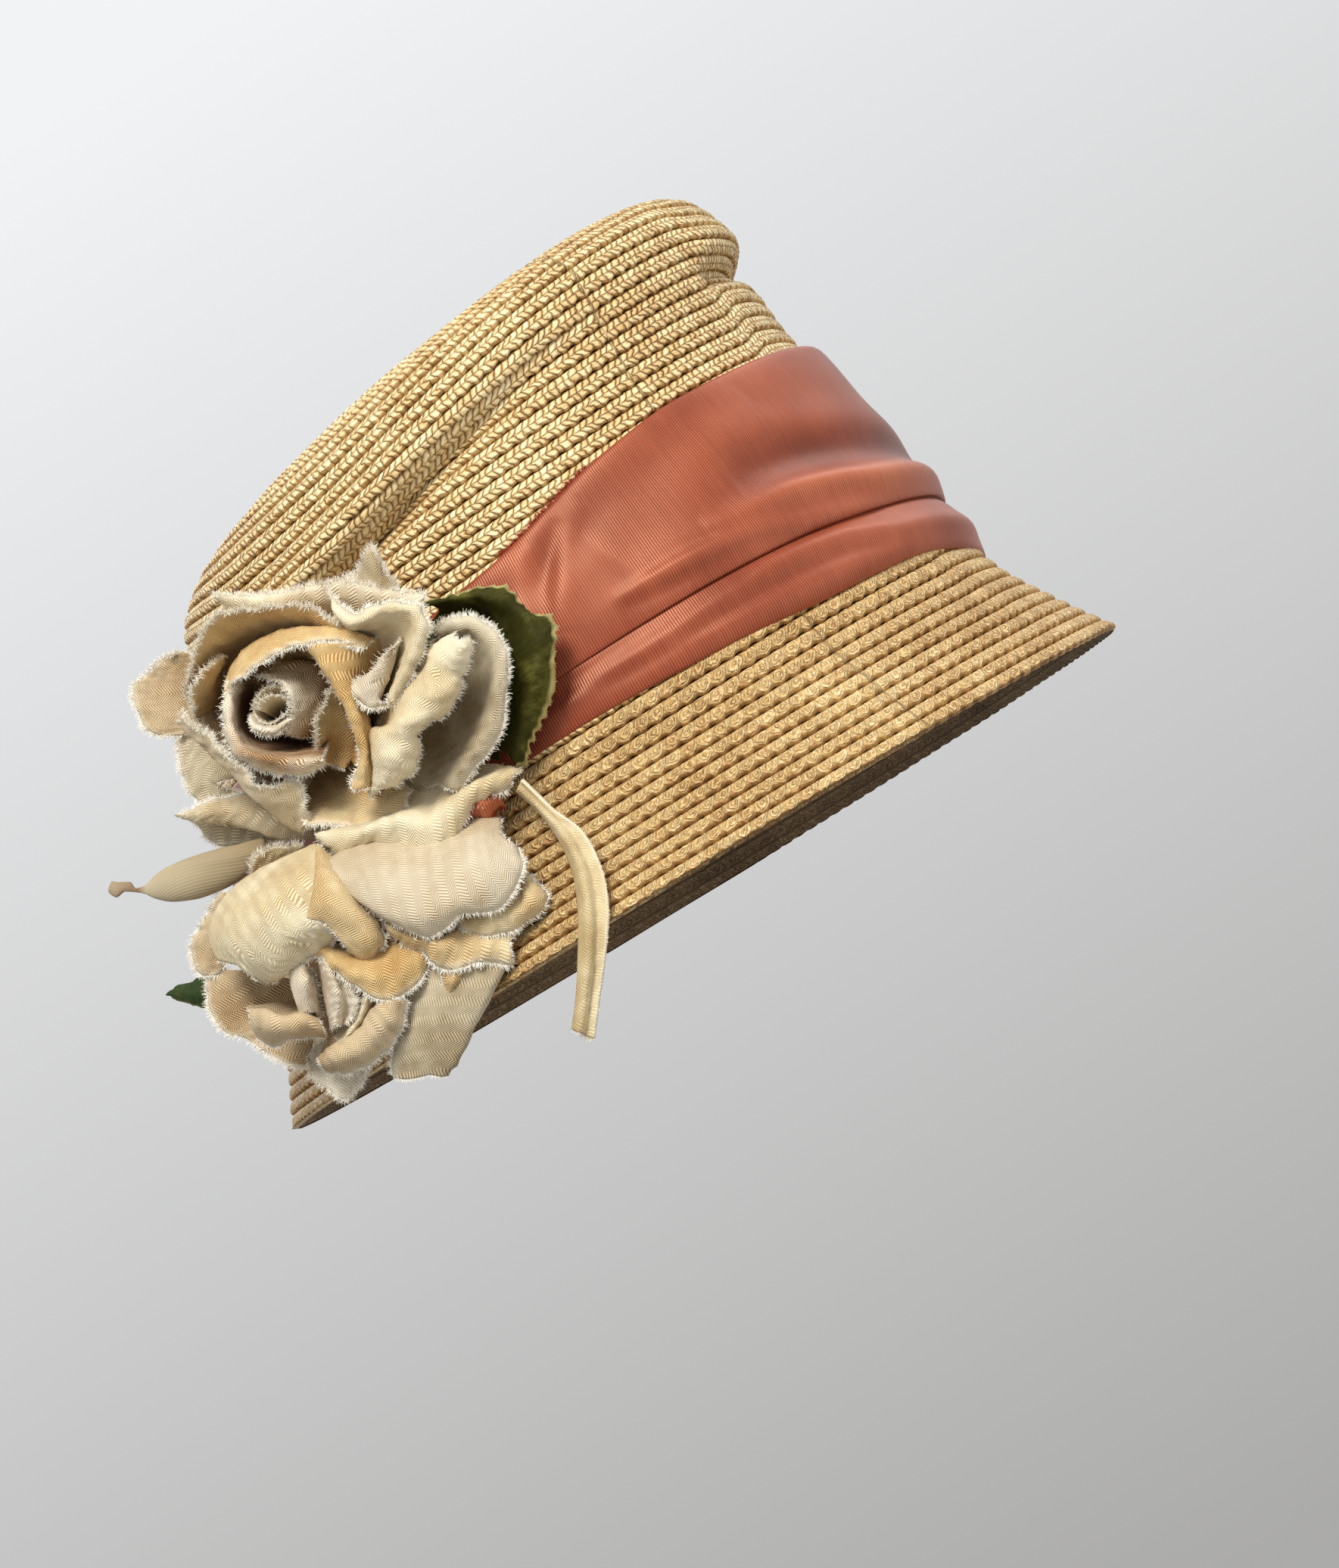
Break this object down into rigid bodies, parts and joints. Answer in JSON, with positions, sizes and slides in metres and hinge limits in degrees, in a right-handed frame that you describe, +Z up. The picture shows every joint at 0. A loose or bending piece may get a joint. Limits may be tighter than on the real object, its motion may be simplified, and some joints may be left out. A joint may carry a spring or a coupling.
{
  "type": "straw cloche hat",
  "caption": "Close-fitting straw hat with a tall tapered crown, short flared brim, wide draped satin band and a spray of cloth roses.",
  "frame": {"origin": "middle of the head opening, at the level where brim and crown meet, 31.5 mm above the rim", "axes": "+Z up the crown, the brow towards -Y and the wearer's right, with the roses, towards -X"},
  "size_m": [0.25, 0.25, 0.1698],
  "materials": {
    "straw": "sewn straw braid, low gloss",
    "satin": "draped satin, soft gloss",
    "petal_velvet": "cotton velvet, matt with a pale pile",
    "petal_satin": "stiffened twill and silk, matt",
    "leaf": "printed cotton, matt",
    "stem": "wrapped cotton, matt",
    "felt": "felt, matt"
  },
  "bodies": {
    "root": {"straw_body": "straw", "satin_band": "satin", "hanging_stem": "stem", "leaf_upper": "leaf", "leaf_lower": "leaf", "twisted_bud": "petal_velvet", "rose_upper_pointed": "petal_satin", "rose_upper_base": "felt", "rose_upper_heart": "petal_velvet", "rose_upper_petal_inner": "petal_velvet", "rose_upper_petal_arch": "petal_velvet", "rose_upper_petal_tall": "petal_velvet", "rose_upper_petal_left": "petal_velvet", "rose_upper_petal_apron": "petal_satin", "rose_upper_petal_curled": "petal_satin", "rose_upper_petal_bowl": "petal_satin", "rose_upper_petal_ruffled": "petal_satin", "rose_upper_petal_crest": "petal_satin", "rose_upper_petal_skirt": "petal_satin", "rose_upper_petal_shade": "petal_satin", "rose_upper_petal_dusk": "petal_satin", "rose_upper_petal_wing": "petal_satin", "rose_lower_base": "felt", "rose_lower_heart": "petal_velvet", "rose_lower_petal_inner": "petal_velvet", "rose_lower_petal_heart": "petal_velvet", "rose_lower_petal_puff": "petal_satin", "rose_lower_petal_lip": "petal_velvet", "rose_lower_petal_fold": "petal_velvet", "rose_lower_petal_scallop": "petal_satin", "rose_lower_petal_mist": "petal_satin", "rose_lower_petal_satin": "petal_satin", "rose_lower_petal_tongue": "petal_satin", "rose_lower_petal_silk": "petal_velvet", "rose_lower_petal_yolk": "petal_velvet"}
  },
  "joints": []
}
